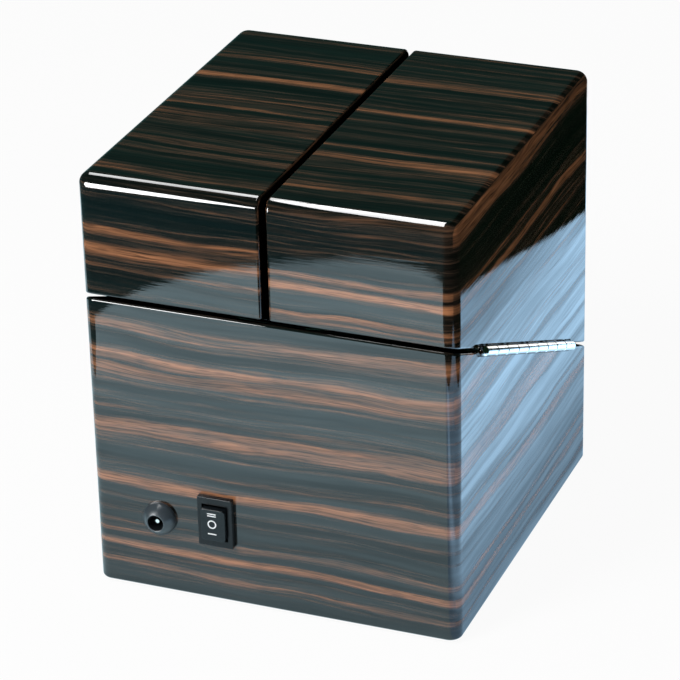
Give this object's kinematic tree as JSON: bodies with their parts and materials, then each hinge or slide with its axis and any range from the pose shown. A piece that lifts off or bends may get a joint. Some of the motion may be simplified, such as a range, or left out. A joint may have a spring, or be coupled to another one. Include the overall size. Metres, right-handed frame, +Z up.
{
  "type": "watch winder box",
  "caption": "Lacquered wooden watch winder box whose split lid opens as side-hinged wings over a sloping deck with a geared rotor and watch cushion; rocker switch and power socket at the back.",
  "frame": {"origin": "centre of the box's footprint on the underside of the felt pad", "axes": "+Z up; +Y towards the back wall with the switch and socket; +X towards the right-hand wing as seen from the front"},
  "size_m": [0.1566, 0.165, 0.1745],
  "materials": {
    "wood": "high gloss lacquered striped ebony veneer",
    "raw_board": "plain fibreboard",
    "felt": "black felt",
    "deck_skin": "black grained leatherette over board",
    "lining": "black suede cloth",
    "cushion": "soft black leatherette",
    "nickel": "bright nickel plate",
    "steel": "plain steel",
    "screw_steel": "zinc plated",
    "bronze": "sintered bronze",
    "brass": "turned brass",
    "black_plastic": "black moulded plastic",
    "gear_plastic": "natural nylon",
    "gloss_black": "polished black plastic",
    "white_plastic": "white nylon",
    "board": "green solder resist",
    "wire": "red insulated wire",
    "can_metal": "bare metal can"
  },
  "bodies": {
    "base": {"base_shell": "wood", "bottom_panel": "raw_board", "corner_blocks": "raw_board", "bottom_screws": "screw_steel", "base_pad": "felt", "deck_panel": "deck_skin", "deck_cleats": "raw_board", "rotor_bezel": "nickel", "bracket_plate": "steel", "bracket_posts": "black_plastic", "bracket_screws": "screw_steel", "shaft_bush": "bronze", "gearbox": "steel", "motor_can": "steel", "motor_cap": "white_plastic", "motor_screws": "screw_steel", "control_board": "board", "board_posts": "white_plastic", "board_screws": "screw_steel", "board_chip": "black_plastic", "board_capacitor": "can_metal", "board_sockets": "white_plastic", "power_socket": "gloss_black", "socket_contact": "nickel", "socket_nut": "black_plastic", "switch_housing": "black_plastic", "switch_terminals": "brass", "switch_leads": "wire", "socket_leads": "wire", "motor_leads": "wire", "left_base_leaf": "nickel", "right_base_leaf": "nickel", "left_hinge_pin": "nickel", "right_hinge_pin": "nickel", "base_leaf_screws": "nickel"},
    "left_wing": {"left_wing_shell": "wood", "left_wing_lining": "lining", "left_wing_leaf": "nickel", "left_wing_screws": "nickel"},
    "right_wing": {"right_wing_shell": "wood", "right_wing_lining": "lining", "right_wing_leaf": "nickel", "right_wing_screws": "nickel"},
    "rotor": {"rotor_cup": "black_plastic", "rotor_gear": "gear_plastic", "rotor_shaft": "steel", "shaft_clip": "steel", "cup_screws": "screw_steel"},
    "pinion": {"drive_pinion": "brass", "gearbox_shaft": "steel"},
    "cushion": {"watch_cushion": "cushion"},
    "rocker": {"switch_rocker": "gloss_black"}
  },
  "joints": [
    {"name": "left_wing_hinge", "type": "hinge", "parent": "base", "child": "left_wing", "pos_m": [-0.0763, 0, 0.0889], "axis": [0, -0.9107, -0.4131], "range_deg": [0, 95]},
    {"name": "right_wing_hinge", "type": "hinge", "parent": "base", "child": "right_wing", "pos_m": [0.0763, 0, 0.0889], "axis": [0, 0.9107, 0.4131], "range_deg": [0, 95]},
    {"name": "rotor_spin", "type": "hinge", "parent": "base", "child": "rotor", "pos_m": [0, 0, 0.0889], "axis": [0, -0.4131, 0.9107], "continuous": true},
    {"name": "pinion_spin", "type": "hinge", "parent": "base", "child": "pinion", "pos_m": [-0.03615, 0, 0.0889], "axis": [0, -0.4131, 0.9107], "continuous": true},
    {"name": "cushion_lift", "type": "slide", "parent": "rotor", "child": "cushion", "axis": [0, -0.4131, 0.9107], "range_m": [0, 0.04]},
    {"name": "rocker_tilt", "type": "hinge", "parent": "base", "child": "rocker", "pos_m": [0.02295, 0.0794, 0.0369], "axis": [1, 0, 0], "range_deg": [-10, 10]}
  ],
  "couplings": [
    {"joint": "pinion_spin", "follows": "rotor_spin", "ratio": -3}
  ]
}
